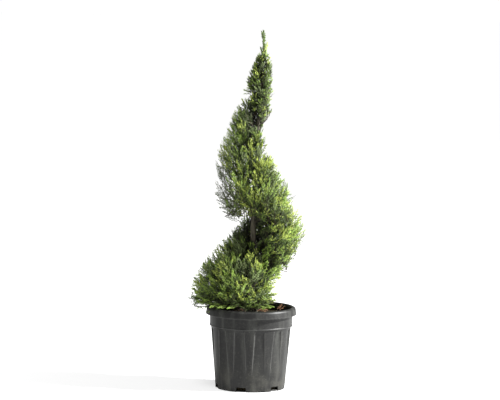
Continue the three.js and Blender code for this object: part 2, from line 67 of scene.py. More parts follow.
METRE = 1000.0  # in millimetres
RIM_RADIUS, _, POT_HEIGHT = np.array(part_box("pot")[1]) * METRE
SKIRT_FOOT = POT_HEIGHT - 26
BAND_FOOT = SKIRT_FOOT - 42
BAND_RADIUS = 144.5
BODY_TOP_RADIUS = 140.5
BODY_FOOT_RADIUS = 121.5
WALL = 3
BASE_THICKNESS = 4
MOUTH_RADIUS = BAND_RADIUS - WALL
RIBS = 12
HOLLOW_DEPTH = 4.5
RIB_FOOT = 46
RIB_TOP = BAND_FOOT - 4
RIB_AIM = np.radians(-92)
RIB_HALF_TOP = np.radians(9)
RIB_HALF_FOOT = np.radians(4.5)
NOTCHES = 6
NOTCH_WIDTH = 35
NOTCH_HEIGHT = 16
NOTCH_AIM = np.radians(-105)
NOTCH_EDGE = 3e-4  # radians between the two columns that make a notch's cheek
WALL_COLUMNS = 540
PLASTIC_DARK = "#20201f"
PLASTIC_WORN = "#4a4b47"
PLASTIC_DUST = "#56554e"
# The next colour is a painted highlight along the edges of the ribs, the band and the skirt.
PLASTIC_EDGE_HIGHLIGHT = "#656563"


def tone(code):
    """A colour code's red, green and blue as light, with alpha 1: each share to the power 2.2."""
    return (*(np.array([int(code[i : i + 2], 16) for i in (1, 3, 5)]) / 255) ** 2.2, 1.0)


class Value:
    """A number or colour inside a finish. Arithmetic on it adds the Math nodes that work it out."""

    def __init__(self, finish, socket):
        self.finish, self.socket = finish, socket

    def maths(self, operation, *terms):
        return self.finish.node("ShaderNodeMath", {"operation": operation}, dict(enumerate(terms)))

    def __add__(self, other):
        return self.maths("ADD", self, other)

    def __sub__(self, other):
        return self.maths("SUBTRACT", self, other)

    def __rsub__(self, other):
        return self.maths("SUBTRACT", other, self)

    def __mul__(self, other):
        return self.maths("MULTIPLY", self, other)

    __radd__, __rmul__ = __add__, __mul__

    def between(self, low, high):
        """0 up to low and 1 from high on, with a smooth rise between."""
        settings = {"interpolation_type": "SMOOTHSTEP"}
        return self.finish.node("ShaderNodeMapRange", settings, {"Value": self, 1: low, 2: high})


class Finish:
    """A material in the making. Its sockets are set by name, and node() adds what feeds them."""

    def __init__(self, name, **constants):
        self.material = bpy.data.materials.new(name)
        self.material.use_nodes = True
        self.tree = self.material.node_tree
        self.surface = self.tree.nodes["Principled BSDF"]
        self.place = self.node("ShaderNodeTexCoord", {}, {}, "Object")
        for socket, value in constants.items():
            self.surface.inputs[socket.replace("_", " ")].default_value = value

    def node(self, kind, settings, sockets, output=0):
        """A node of that kind, with its settings made first and then its sockets filled or linked."""
        made = self.tree.nodes.new(kind)
        for key, value in settings.items():
            setattr(made, key, value)
        for key, value in sockets.items():
            if isinstance(value, Value):
                self.tree.links.new(value.socket, made.inputs[key])
            else:
                made.inputs[key].default_value = value
        return Value(self, made.outputs[output])

    def noise(self, size, detail=3.0, stretch=(1, 1, 1)):
        """Cloudy noise from 0 to 1 whose clouds are about size millimetres across, drawn out by stretch."""
        scale = {"Vector": self.place, "Scale": tuple(1 / share for share in stretch)}
        vector = self.node("ShaderNodeMapping", {}, scale)
        sockets = {"Vector": vector, "Scale": METRE / size, "Detail": detail}
        return self.node("ShaderNodeTexNoise", {}, sockets)

    def height(self):
        """The place's height above the floor, in millimetres."""
        return METRE * self.node("ShaderNodeSeparateXYZ", {}, {0: self.place}, 2)

    def mix(self, share, first, second):
        """From the first colour to the second as share goes from 0 to 1."""
        sockets = {0: share, 6: first, 7: second}
        return self.node("ShaderNodeMix", {"data_type": "RGBA"}, sockets, 2)

    def clouded(self, size, detail, softness, dark, light):
        """The material, in soft-edged clouds of a dark and a light colour."""
        share = self.noise(size, detail).between(0.5 - softness, 0.5 + softness)
        return self.finish(Base_Color=self.mix(share, dark, light))

    def finish(self, **links):
        """Links what varies to the surface's sockets, with relief as (height, millimetres)."""
        relief = links.pop("relief", None)
        if relief:
            sockets = {"Height": relief[0], "Distance": relief[1] / METRE, "Strength": 1.0}
            links["Normal"] = self.node("ShaderNodeBump", {}, sockets)
        for socket, value in links.items():
            self.tree.links.new(value.socket, self.surface.inputs[socket.replace("_", " ")])
        return self.material


def made_piece(name, points, triangles, material, slot, replaced=()):
    """A smooth piece from points in millimetres and triangles."""
    mesh = bpy.data.meshes.new(name)
    mesh.from_pydata(np.asarray(points, np.float32) / METRE, [], triangles)
    mesh.validate()
    mesh.shade_smooth()
    mesh.materials.append(material)
    piece = bpy.data.objects.new(name, mesh)
    scene.collection.objects.link(piece)
    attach(piece, "root")
    if replaced:
        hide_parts(*replaced)
    return piece


def skins(rings):
    """The points and triangles of closed skins over rings, given as (skin, ring, side, xyz): two triangles
    for each side between rings, and a fan about the middle of each end ring."""
    many, count, sides, _ = rings.shape
    ends = rings[:, [0, -1]].mean(2)
    points = np.concatenate([rings.reshape(many, -1, 3), ends], 1)
    ring, side = (grid.ravel() for grid in np.mgrid[0 : count - 1, 0:sides])
    a, b = ring * sides + side, ring * sides + (side + 1) % sides
    i, top = np.arange(sides), (count - 1) * sides
    j, foot, tip = (i + 1) % sides, np.full(sides, count * sides), np.full(sides, count * sides + 1)
    corners = [(a, b, b + sides), (a, b + sides, a + sides), (j, i, foot), (top + i, top + j, tip)]
    one = np.concatenate([np.stack(corner, 1) for corner in corners])
    steps = np.arange(many)[:, None, None] * points.shape[1]
    return points.reshape(-1, 3), (one + steps).reshape(-1, 3)


def around(count):
    """That many angles at even steps round a circle."""
    return np.arange(count) * 2 * np.pi / count


def lengths_along(line):
    """The length of a line from its start to each of its points."""
    return np.concatenate([[0], np.cumsum(np.linalg.norm(np.diff(line, axis=0), axis=1))])


def joined(*meshes):
    """Several (points, triangles) as one."""
    starts = np.cumsum([0] + [len(points) for points, _ in meshes])
    triangles = [faces + start for (_, faces), start in zip(meshes, starts)]
    return np.concatenate([points for points, _ in meshes]), np.concatenate(triangles)


def rounded_profile(corners, longest, steps=5):
    """A closed outline of (radius, height) points. Each corner (radius, height, fillet) becomes a quadratic
    arc between the points a fillet's length along its sides, and straight runs are divided."""
    corner = np.array(corners, float)
    at, fillet = corner[:, :2], corner[:, 2:]
    back, on = np.roll(at, 1, 0) - at, np.roll(at, -1, 0) - at
    start = at + back / np.linalg.norm(back, axis=1, keepdims=True) * fillet
    end = at + on / np.linalg.norm(on, axis=1, keepdims=True) * fillet
    t = np.linspace(0, 1, steps)[:, None, None]
    arcs = (1 - t) ** 2 * start + 2 * t * (1 - t) * at + t**2 * end
    outline = arcs.transpose(1, 0, 2).reshape(-1, 2)
    outline = np.concatenate([outline, outline[:1]])
    along = lengths_along(outline)
    places = np.unique(np.concatenate([along, np.arange(0, along[-1], longest)]))[:-1]
    places = places[np.diff(places, append=along[-1]) > 0.02]
    return np.stack([np.interp(places, along, outline[:, axis]) for axis in (0, 1)], 1)


def smooth(x, low, high):
    """0 below low, 1 above high, and 3s^2 - 2s^3 of the share s between."""
    share = np.clip((x - low) / (high - low), 0, 1)
    return share * share * (3 - 2 * share)


def rib_share(angle, height):
    """How far off the nearest rib's middle a place is, as a share of the rib's half width there, which widens
    upwards, and the share of the ribs' height."""
    pitch = 2 * np.pi / RIBS
    rise = np.clip((height - RIB_FOOT) / (RIB_TOP - RIB_FOOT), 0, 1)
    off = np.abs((angle - RIB_AIM + pitch / 2) % pitch - pitch / 2)
    return off / (RIB_HALF_FOOT + (RIB_HALF_TOP - RIB_HALF_FOOT) * rise), rise


def hollow_sink(angle, height):
    """How far the wall is sunk: nothing on a rib, and past its flank more and more up to the full depth."""
    share, rise = rib_share(angle, height)
    shallower = np.minimum(1, 1.3 * rise) * (1 - smooth(height, RIB_TOP - 1.5, RIB_TOP))
    return HOLLOW_DEPTH * shallower * smooth(share, 0.86, 1.07)


def painted_edge_highlight(points):
    """How much painted highlight the wall gets: up to 1 along the edges of the ribs, the band and the rim."""
    radius, height = np.hypot(points[:, 0], points[:, 1]), points[:, 2]
    share, _ = rib_share(np.arctan2(points[:, 1], points[:, 0]), height)
    outside = radius > BODY_FOOT_RADIUS + (BODY_TOP_RADIUS - BODY_FOOT_RADIUS) * height / BAND_FOOT - 2
    ribs = np.exp(-(((share - 0.9) / 0.1) ** 2)) * smooth(height, RIB_FOOT + 6, RIB_FOOT + 50)
    band = np.exp(-(((height - BAND_FOOT - 2.5) / 2) ** 2)) + np.exp(-(((height - SKIRT_FOOT) / 1.5) ** 2))
    return outside * np.clip(ribs * (height < RIB_TOP - 1) + 0.7 * band, 0, 1)


def pot_wall():
    """The wall's outline turned about the axis, less the hollows. Its foot is raised in the notches' columns,
    and two columns close together at a notch's edge make its cheek."""
    outline = rounded_profile(
        [
            (BODY_FOOT_RADIUS, 0, 1),
            (BODY_TOP_RADIUS, BAND_FOOT, 0.8),
            (BAND_RADIUS + 1, BAND_FOOT + 1, 0.7),
            (BAND_RADIUS + 1, BAND_FOOT + 4, 0.7),
            (BAND_RADIUS, BAND_FOOT + 6, 0.7),
            (BAND_RADIUS + 1, SKIRT_FOOT + 14, 2),
            (RIM_RADIUS - 6, SKIRT_FOOT + 16, 2),
            (RIM_RADIUS - 3, SKIRT_FOOT, 0.9),
            (RIM_RADIUS, SKIRT_FOOT, 0.9),
            (RIM_RADIUS - 3, POT_HEIGHT - 5, 4),
            (RIM_RADIUS - 8, POT_HEIGHT, 4),
            (MOUTH_RADIUS + 3, POT_HEIGHT, 2.5),
            (MOUTH_RADIUS, POT_HEIGHT - 4, 2.5),
            (MOUTH_RADIUS, BAND_FOOT + 5, 2),
            (BODY_TOP_RADIUS - HOLLOW_DEPTH - WALL, BAND_FOOT - 2, 2),
            (BODY_FOOT_RADIUS - WALL, 0, 1),
        ],
        longest=7,
    )
    half = NOTCH_WIDTH / 2 / BODY_FOOT_RADIUS
    edges = NOTCH_AIM + around(NOTCHES)[:, None] + [-half - NOTCH_EDGE, -half, half, half + NOTCH_EDGE]
    angle = np.sort(np.concatenate([around(WALL_COLUMNS), edges.ravel() % (2 * np.pi)]))[:, None]
    radius, height = outline[:, 0], outline[:, 1]
    off = np.abs((angle - NOTCH_AIM + np.pi / NOTCHES) % (2 * np.pi / NOTCHES) - np.pi / NOTCHES)
    outside = (np.arange(len(outline)) < np.argmax(height > BAND_FOOT)) & (radius > BODY_FOOT_RADIUS - 1)
    radius = radius - np.where(outside, hollow_sink(angle, height), 0)
    height = np.where((off < half + 1e-5) & (height < NOTCH_HEIGHT), NOTCH_HEIGHT, height + 0 * angle)
    points = np.stack([radius * np.cos(angle), radius * np.sin(angle), height], 2)
    columns, rows = height.shape
    column, row = (grid.ravel() for grid in np.mgrid[0:columns, 0:rows])
    a, b = column * rows + row, (column + 1) % columns * rows + row
    c, d = column * rows + (row + 1) % rows, (column + 1) % columns * rows + (row + 1) % rows
    return points.reshape(-1, 3), np.concatenate([np.stack([a, b, d], 1), np.stack([a, d, c], 1)])


def turned(profile, sides):
    """Rings about the axis, one for each (radius, height) of a profile."""
    angle = around(sides)
    radius, height = np.array(profile, float).T[:, :, None]
    return np.stack([radius * np.cos(angle), radius * np.sin(angle), height + 0 * angle], 2)[None]


base_radius = BODY_FOOT_RADIUS - WALL
base_plate = skins(turned([(base_radius + 0.4, 1.2), (base_radius + 0.6, BASE_THICKNESS)], sides=96))

plastic = Finish("grey_moulded_plastic", Specular_IOR_Level=0.32)
mottle = plastic.noise(9, 4)
drawn = plastic.noise(30, 3, (1, 1, 9))
grime = plastic.noise(55, 4)
dusty = (1 - plastic.height().between(8, 120)) * grime.between(0.42, 0.7)
worn = drawn.between(0.45, 0.75) * 0.55 + mottle.between(0.5, 0.75) * 0.25
colour = plastic.mix(worn, tone(PLASTIC_DARK), tone(PLASTIC_WORN))
specks = plastic.noise(3, 1).between(0.62, 0.74) * grime.between(0.35, 0.6)
colour = plastic.mix(dusty * 0.45 + specks * 0.5, colour, tone(PLASTIC_DUST))
# Painted highlight: a lighter colour along the edges of the ribs, the band and the skirt's foot, which are
# also made a little glossier.
edge_highlight = plastic.node("ShaderNodeAttribute", {"attribute_name": "painted_edge_highlight"}, {}, 2) * (0.4 + 0.6 * drawn)
colour = plastic.mix(edge_highlight * 0.5, colour, tone(PLASTIC_EDGE_HIGHLIGHT))
pot_plastic = plastic.finish(
    Base_Color=colour,
    Roughness=0.4 + mottle * 0.14 + dusty * 0.2 - edge_highlight * 0.12,
    relief=(plastic.noise(1.6, 2) + mottle * 0.8, 0.12),
)
moulding = joined(pot_wall(), base_plate)
pot = made_piece("pot_moulding", *moulding, pot_plastic, "pot", ["pot"])
marks = pot.data.attributes.new("painted_edge_highlight", "FLOAT", "POINT")
marks.data.foreach_set("value", painted_edge_highlight(moulding[0]).astype(np.float32))


# --------------------------------------------------
# Soil. Potting compost that fills the pot to a thumb's width under its rim: dark peat with bark crumbs of
# one to five millimetres, humped by watering and a little lower along the wall.

GAP = 0.3  # left between the soil and the trunk's foot
SOIL_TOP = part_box("trunk")[0].z * METRE - GAP
CRUMBS = 3200
CRUMBS_FROM = 24  # millimetres from the axis
SOIL_DARK = "#1d1a10"
SOIL_LIGHT = "#453a28"


def ripples(x, y, wavelength, waves, rng):
    """Uneven ground from -1 to 1: the mean of plane waves of about that length in random directions."""
    turn, phase = rng.uniform(0, 2 * np.pi, (2, waves))
    number = 2 * np.pi / (wavelength * rng.uniform(0.7, 1.4, waves))
    along = x[..., None] * np.cos(turn) + y[..., None] * np.sin(turn)
    return np.sin(along * number + phase).mean(-1) * 1.6


def soil_level(x, y):
    """The height of the soil's surface: level, less a fall towards the wall, plus humps and small lumps."""
    radius = np.hypot(x, y)
    lumps = 2.6 * ripples(x, y, 70, 7, np.random.default_rng(3))
    lumps = lumps + 1.1 * ripples(x, y, 17, 9, np.random.default_rng(4))
    return SOIL_TOP - 1.5 - 3.5 * smooth(radius, 100, 141) + lumps * smooth(radius, 18, 40)


def soil_bed():
    """A plug that fills the pot, whose top is a disc of rings at the soil's level."""
    side = [
        (BODY_FOOT_RADIUS - 14, 4.2),
        (BODY_FOOT_RADIUS - 12, 22),
        (BODY_FOOT_RADIUS - WALL - 1, 34),
        (BODY_TOP_RADIUS - HOLLOW_DEPTH - WALL - 0.6, BAND_FOOT - 4),
    ]
    top = [(radius, SOIL_TOP) for radius in np.linspace(MOUTH_RADIUS - 0.3, 1.5, 52)]
    rings = turned([*side, *top], sides=110)
    ground = rings[0, len(side) :]
    ground[..., 2] = soil_level(ground[..., 0], ground[..., 1])
    return skins(rings)


def lumps(middles, sizes, rng):
    """Eight-faced crumbs: six points out along the axes by uneven shares of their size, turned at random."""
    axes = np.array([[1, 0, 0], [0, 1, 0], [-1, 0, 0], [0, -1, 0], [0, 0, 1], [0, 0, -1]], float)
    upper = [[0, 1, 4], [1, 2, 4], [2, 3, 4], [3, 0, 4]]
    faces = np.array([*upper, [1, 0, 5], [2, 1, 5], [3, 2, 5], [0, 3, 5]])
    out = axes * rng.uniform(0.6, 1.3, (len(middles), 6, 1)) * sizes[:, None, None]
    turn, _ = np.linalg.qr(rng.normal(size=(len(middles), 3, 3)))
    turn[np.linalg.det(turn) < 0, :, 0] *= -1
    points = middles[:, None] + np.einsum("nij,nkj->nki", turn, out)
    return points.reshape(-1, 3), (faces + np.arange(len(middles))[:, None, None] * 6).reshape(-1, 3)


def crumb_places(count, rng):
    """Places spread evenly over the soil between the trunk and the wall, at its level."""
    radius = np.sqrt(rng.uniform(CRUMBS_FROM**2, (MOUTH_RADIUS - 4) ** 2, count))
    angle = rng.uniform(0, 2 * np.pi, count)
    x, y = radius * np.cos(angle), radius * np.sin(angle)
    return np.stack([x, y, soil_level(x, y)], 1)


rng = np.random.default_rng(11)
crumbs = lumps(crumb_places(CRUMBS, rng), rng.gamma(2.2, 0.75, CRUMBS) + 0.8, rng)
compost = Finish("potting_compost", Specular_IOR_Level=0.25)
grain = compost.noise(2.2, 4)
patches = compost.noise(24, 3)
potting_compost = compost.finish(
    Base_Color=compost.mix(grain.between(0.45, 0.72), tone(SOIL_DARK), tone(SOIL_LIGHT)),
    Roughness=0.84 + patches * 0.14,
    relief=(grain, 0.9),
)
made_piece("soil_and_crumbs", *joined(soil_bed(), crumbs), potting_compost, "soil", ["soil"])


# --------------------------------------------------
# Trunk. One straight young stem with thin fibrous bark that cracks into upright strips, left bare between
# the turns of the spiral. It swells into the roots at the soil and leans a little as it rises.

TRUNK_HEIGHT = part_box("trunk")[1].z * METRE - SOIL_TOP
LEADER_LENGTH = 71
PLANT_HEIGHT = TRUNK_HEIGHT + LEADER_LENGTH
TRUNK_LEAN = 32
TRUNK_FOOT_RADIUS = 14
TRUNK_TIP_RADIUS = 2
ROOT_FLARE = 7
ROOT_FLARE_HEIGHT = 45
KNOTS = 26
BARK_STRIPS = [10, 14, 16, 22, 26]  # waves of bark round the trunk
BARK_DEPTH = 0.045  # as a share of the radius
BARK_CRACK = "#28251d"
BARK_BROWN = "#5c584b"
BARK_GREY = "#938f7e"


def trunk_middle(height):
    """The trunk's middle at a height above the soil: it leans by the square of its share of the plant."""
    share = np.asarray(height, float) / PLANT_HEIGHT
    return np.stack([TRUNK_LEAN * share**2, 2.5 * np.sin(share * 7), height + 0 * share], -1)


def trunk_radius(height):
    """From foot to tip by a power of the height's share, plus a flare that dies away above the soil."""
    share = np.clip(height / TRUNK_HEIGHT, 0, 1)
    flare = ROOT_FLARE * np.clip(1 - height / ROOT_FLARE_HEIGHT, 0, 1) ** 2
    return TRUNK_FOOT_RADIUS + (TRUNK_TIP_RADIUS - TRUNK_FOOT_RADIUS) * share**0.85 + flare


def bark_relief(angle, along, strips, rng):
    """Bark from -1, in its cracks, to 1: whole numbers of waves round the limb, each bent by slower ones
    along it and folded at its lows into narrow cracks."""
    relief = 0
    for number in strips:
        bend, phase, length = rng.uniform(0.5, 1.6), rng.uniform(0, 6.3), rng.uniform(50, 120)
        way = along / length
        wander = bend * np.sin(way * 6.3 + phase) + bend * np.sin(way * 2.3 + 2 * phase)
        relief = relief + np.abs(np.sin((number * angle + wander + phase) / 2)) ** 0.6
    return 2 * relief / len(strips) - 1


def upright(points):
    """The points raised from their heights above the soil to heights above the floor."""
    return points + np.array([0, 0, SOIL_TOP])


def trunk_rings(rows, sides):
    """Level rings about the trunk's middle, closer together low down, with three root swellings, knots, and
    the bark's relief as a share of the radius."""
    rng = np.random.default_rng(21)
    height = TRUNK_HEIGHT * np.linspace(0, 1, rows)[:, None] ** 1.15
    angle = around(sides)
    roots = 0.16 * np.clip(1 - height / ROOT_FLARE_HEIGHT, 0, 1) * np.cos(3 * angle)
    radius = trunk_radius(height) * (1 + roots)
    relief = bark_relief(angle, height, BARK_STRIPS, rng)
    for _ in range(KNOTS):
        knot, side, size = rng.uniform(20, TRUNK_HEIGHT), rng.uniform(0, 6.3), rng.uniform(3, 6)
        off = np.abs((angle - side + np.pi) % (2 * np.pi) - np.pi) * radius
        relief = relief + 2.2 * np.exp(-(off**2 + (height - knot) ** 2) / size**2)
    radius = radius + relief * BARK_DEPTH * radius
    out = np.stack([np.cos(angle), np.sin(angle), 0 * angle], 1)
    return upright(trunk_middle(height) + radius[..., None] * out)[None]


bark = Finish("fibrous_bark", Specular_IOR_Level=0.3)
strands = bark.noise(2.4, 4, (1, 1, 12))
weather = bark.noise(26, 3, (1, 1, 3))
colour = bark.mix(strands.between(0.34, 0.6), tone(BARK_CRACK), tone(BARK_BROWN))
colour = bark.mix(weather.between(0.4, 0.7) * strands.between(0.4, 0.7), colour, tone(BARK_GREY))
fibrous_bark = bark.finish(Base_Color=colour, Roughness=0.8 + weather * 0.15, relief=(strands, 0.8))
made_piece("trunk_bark", *skins(trunk_rings(rows=420, sides=44)), fibrous_bark, "bark", ["trunk"])


# --------------------------------------------------
# Boughs. One short tapering limb leaves the trunk for each mass of the ribbon of foliage and turns up as
# its stem. The ribbon's sizes are given a quarter turn at a time, and everything that grows keeps to them.

# The ribbon's edge, its reach there, its foot and the share of the reach kept on the way to it, and its top
# and the share kept on the way to that, for each quarter turn. Rows face +X, -Y, -X and +Y in turn.
RIBBON = np.array(
    [
        [35, 92, 0, 0.8, 150, 0.5],
        [66, 158, 0, 0.9, 262, 0.42],
        [90, 222, 0, 0.95, 292, 0.38],
        [195, 198, 26, 0.7, 400, 0.3],
        [290, 190, 95, 0.5, 545, 0.36],
        [455, 166, 345, 0.7, 690, 0.35],
        [530, 146, 322, 0.95, 830, 0.25],
        [620, 112, 450, 0.6, 800, 0.4],
        [830, 38, 640, 0.55, 990, 0.6],
        [800, 48, 650, 0.85, 960, 0.5],
        [765, 66, 700, 0.9, 935, 0.1],
        [830, 48, 780, 0.7, 960, 0.5],
        [905, 32, 880, 0.8, 960, 0.7],
    ]
)
FIRST_TURN = -0.2  # where the ribbon starts, in quarter turns, as all turns here are
RIBBON_TURNS = 8
RIBBON_MASSES = 10
MASS_SPAN = RIBBON_TURNS / RIBBON_MASSES
TOP_SPAN = 2  # of each of the two masses above the ribbon
TOP_START = FIRST_TURN + RIBBON_TURNS
ribbon_turns = FIRST_TURN + MASS_SPAN * (np.arange(RIBBON_MASSES) + 0.5)
MASS_TURNS = np.concatenate([ribbon_turns, TOP_START + TOP_SPAN * np.array([0.5, 1.5])])
BARE_SIDE = 0.62  # the share of the reach that is clipped away where the last turn faces +Y, low down
OVER_RIM = POT_HEIGHT - SOIL_TOP + 3  # how high above the soil foliage clears the rim


def ribbon_at(turn):
    """The six sizes at a place round the ribbon, with a smooth step from each row to the next."""
    place = np.clip(turn, 0, len(RIBBON) - 1)
    row = np.minimum(np.floor(place).astype(int), len(RIBBON) - 2)
    share = smooth(place - row, 0, 1)[..., None]
    return np.moveaxis(RIBBON[row] * (1 - share) + RIBBON[row + 1] * share, -1, 0)


def reach_at(turn, height):
    """How far foliage reaches: the reach at the edge, less by the power 1.3 of the way to the foot or top,
    rounded off there, but not over the pot, and clipped on one side."""
    edge, reach, foot, under, top, over = ribbon_at(turn)
    above = height > edge
    off = np.where(above, (height - edge) / (top - edge), (edge - height) / np.maximum(edge - foot, 1))
    off = np.clip(off, 0, 1)
    drawn_in = np.where(~above & (foot < 60), 1, np.sqrt(1 - off**8))
    bare = smooth(turn, 6.9, 7.4) * (1 - smooth(turn, 7.7, 8)) * (1 - smooth(height, 665, 725))
    kept = 1 + (np.where(above, over, under) - 1) * off**1.3
    return reach * kept * drawn_in * (1 - BARE_SIDE * bare)


def boundary(turn):
    """The height where a turn of the ribbon ends and the next one begins, half way between the two."""
    between = 0.5 * (ribbon_at(turn)[4] + ribbon_at(turn + 4)[2])
    return np.where(turn > len(RIBBON) - 4, TRUNK_HEIGHT, between)


def floor_at(turn):
    """The lowest that foliage stands: its foot, the turn below, or the pot's rim."""
    return np.maximum(ribbon_at(turn)[2], np.where(turn > 4, boundary(turn - 4) + 4, OVER_RIM))


def roof_at(turn):
    """The highest that foliage stands: its top, the turn above, or the trunk's tip."""
    return np.minimum(np.minimum(ribbon_at(turn)[4], boundary(turn) - 2), TRUNK_HEIGHT - 6)


def outward(turn):
    """The level direction that a quarter turn faces."""
    azimuth = -turn * np.pi / 2
    return np.stack([np.cos(azimuth), np.sin(azimuth), 0 * azimuth], -1)


def point_at(turn, radius, height):
    """A place by quarter turns round the trunk, distance from its middle, and height."""
    return trunk_middle(height) + outward(turn) * np.asarray(radius)[..., None]


def limb_lines(steps):
    """A line for each mass through four points, from the trunk up and out to the mass's heart and then up
    through it: a cubic curve whose tangents weigh each gap by the root of its length, in even steps."""
    turn = MASS_TURNS
    edge, reach, foot, _, top, _ = ribbon_at(turn)
    out = 0.5 * reach
    start = np.maximum(np.maximum(12, foot + 14), edge - 0.75 * out)
    level = np.maximum(edge, start + 0.3 * out)
    high = np.minimum(edge + 0.45 * (top - edge), roof_at(turn) - 40)
    second = point_at(turn, 0.55 * out, start + 0.42 * (edge - start))
    last = point_at(turn, 0.62 * out, np.maximum(high, level + 20))
    p = np.stack([trunk_middle(start), second, point_at(turn, out, level), last], 1)
    p = np.concatenate([2 * p[:, :1] - p[:, 1:2], p, 2 * p[:, -1:] - p[:, -2:-1]], 1)
    gap = np.sqrt(np.linalg.norm(np.diff(p, axis=1), axis=2, keepdims=True))
    slope = np.diff(p, axis=1) / gap
    bend = (p[:, 2:] - p[:, :-2]) / (gap[:, 1:] + gap[:, :-1])
    tangent = slope[:, :-1] - bend + slope[:, 1:]
    a, b = p[:, 1:-2, None], p[:, 2:-1, None]
    m, n = (tangent[:, :-1] * gap[:, 1:-1])[:, :, None], (tangent[:, 1:] * gap[:, 1:-1])[:, :, None]
    t = np.linspace(0, 1, 25)[:-1, None]
    cubic = (2 * t**3 - 3 * t**2 + 1) * a + (t**3 - 2 * t**2 + t) * m + (3 * t**2 - 2 * t**3) * b
    cubic = (cubic + (t**3 - t**2) * n).reshape(len(turn), -1, 3)
    cubic = np.concatenate([cubic, last[:, None]], 1)
    return np.stack([evenly(line, steps) for line in cubic])


def evenly(line, steps):
    """A line's points at even steps of its length."""
    along = lengths_along(line)
    places = np.linspace(0, along[-1], steps)
    return np.stack([np.interp(places, along, line[:, axis]) for axis in range(3)], 1)


def limb_rings(lines, radii, sides, relief=None):
    """Rings square across lines given as (limb, point, xyz), with a relief's share added to their radii."""
    heading = np.gradient(lines, axis=1)
    heading /= np.linalg.norm(heading, axis=2, keepdims=True) + 1e-9
    across = np.cross(heading, np.array([0.31, 0.17, 0.93]))
    across /= np.linalg.norm(across, axis=2, keepdims=True) + 1e-9
    beyond = np.cross(heading, across)
    angle = around(sides)[None, None, :, None]
    radius = radii[..., None] if relief is None else radii[..., None] * (1 + relief)
    ring = np.cos(angle) * across[:, :, None] + np.sin(angle) * beyond[:, :, None]
    return upright(lines[:, :, None] + radius[..., None] * ring)


BOUGH_SHARE = 0.24  # of a limb's length, after which it is the mass's stem
BOUGH_SIDES = 18
BOUGH_STRIPS = [5, 8, 11]
LIMB_STEPS = 101
limbs = limb_lines(LIMB_STEPS)
limb_radius = np.clip(0.45 * trunk_radius(floor_at(MASS_TURNS)), 2.2, 6.5)
bough_end = int(BOUGH_SHARE * LIMB_STEPS) + 2
bough_radii = limb_radius[:RIBBON_MASSES, None] * np.linspace(1, 0.65, bough_end)
along = 2.0 * np.arange(bough_end)[None, :, None]
bough_bark = 0.06 * bark_relief(around(BOUGH_SIDES), along, BOUGH_STRIPS, np.random.default_rng(5))
boughs = skins(limb_rings(limbs[:RIBBON_MASSES, :bough_end], bough_radii, BOUGH_SIDES, bough_bark))
bough_nodes = [f"bough_{i + 1:02d}" for i in range(RIBBON_MASSES)]
made_piece("boughs_bark", *boughs, fibrous_bark, "bark", bough_nodes)


# --------------------------------------------------
# Tufts. The ribbon's face is clipped, and behind it every twig has branched into a tuft: feathery sprays
# that leave the twig one after another round it, and one that ends it. They are set out here, as lines.

LAST_TURN = TOP_START + 2 * TOP_SPAN
TUFT_LENGTH = 122
TUFT_RISE = -6, 76, 15  # degrees at the foot, degrees more at the top, and their scatter
THINNED = 0.45  # how much less grows where the ribbon is see-through
LIGHT_SIDE = 0.07
EVEN_STEPS = 0.7548777, 0.5698403  # steps along and up that fill a square evenly
FACE_TURNS, FACE_HEIGHTS = 500, 60  # the grid on which the ribbon's face is measured
# Each layer's tufts: how many, and the shares of the ribbon's reach between which they end.
LAYERS = [(470, 0.82, 0.99), (235, 0.54, 0.74), (150, 0.3, 0.52)]
# Where along its tuft each spray starts, and how the sprays lean out and follow round it.
SPRAY_STARTS = np.array([0.1, 0.17, 0.24, 0.31, 0.38, 0.44, 0.49, 0.52])
SPRAY_LEAN = 22, 50  # degrees
SPRAY_ROUND = 2.4  # radians, about 137 degrees
LAST_SPRAY = 0.48  # the end spray's share of its tuft's length


def thinly_grown(turn, height):
    """1 where the ribbon is thin enough to see through: the lower part of the turn that faces -X."""
    edge = ribbon_at(turn)[0]
    side = smooth(turn, 5.2, 5.6) * (1 - smooth(turn, 6.9, 7.3))
    return side * (1 - smooth(height, edge - 10, edge + 60))


def spread(count, rng):
    """Places spread evenly over the ribbon's face, as turns and heights. Its area is summed over a grid,
    counted less where it is thin and more near the top, and a sequence that fills a square evenly is carried
    onto the grid, so that each place stands for the same area."""
    turn = np.linspace(FIRST_TURN, LAST_TURN, FACE_TURNS)[:, None]
    low, deep = floor_at(turn) + 3, roof_at(turn) - floor_at(turn) - 5
    height = low + deep * (np.arange(FACE_HEIGHTS) + 0.5) / FACE_HEIGHTS
    slope = (reach_at(turn, height + 2) - reach_at(turn, height - 2)) / 4
    area = deep * (reach_at(turn, height) + 12) * np.sqrt(1 + np.minimum(slope**2, 5))
    area = area * (1 - THINNED * thinly_grown(turn, height)) * (1 + 0.7 * smooth(height, 620, 760))
    number = np.arange(1, count + 1)
    along = np.cumsum(area.sum(1))
    row = np.searchsorted(along / along[-1], (0.5 + number * EVEN_STEPS[0]) % 1)
    within = np.cumsum(area[row], 1)
    column = (within / within[:, -1:] < ((number * EVEN_STEPS[1]) % 1)[:, None]).sum(1)
    up = (column + rng.uniform(0, 1, count)) / FACE_HEIGHTS
    return turn[row, 0] + rng.uniform(-0.012, 0.012, count), low[row, 0] + deep[row, 0] * up


def unit(vectors):
    """The same directions with a length of one."""
    return vectors / (np.linalg.norm(vectors, axis=-1, keepdims=True) + 1e-9)


def square_to(aims, vectors):
    """The directions square to the aims that are nearest to the vectors."""
    return unit(vectors - aims * (vectors * aims).sum(-1, keepdims=True))


UP = np.array([0, 0, 1.0])


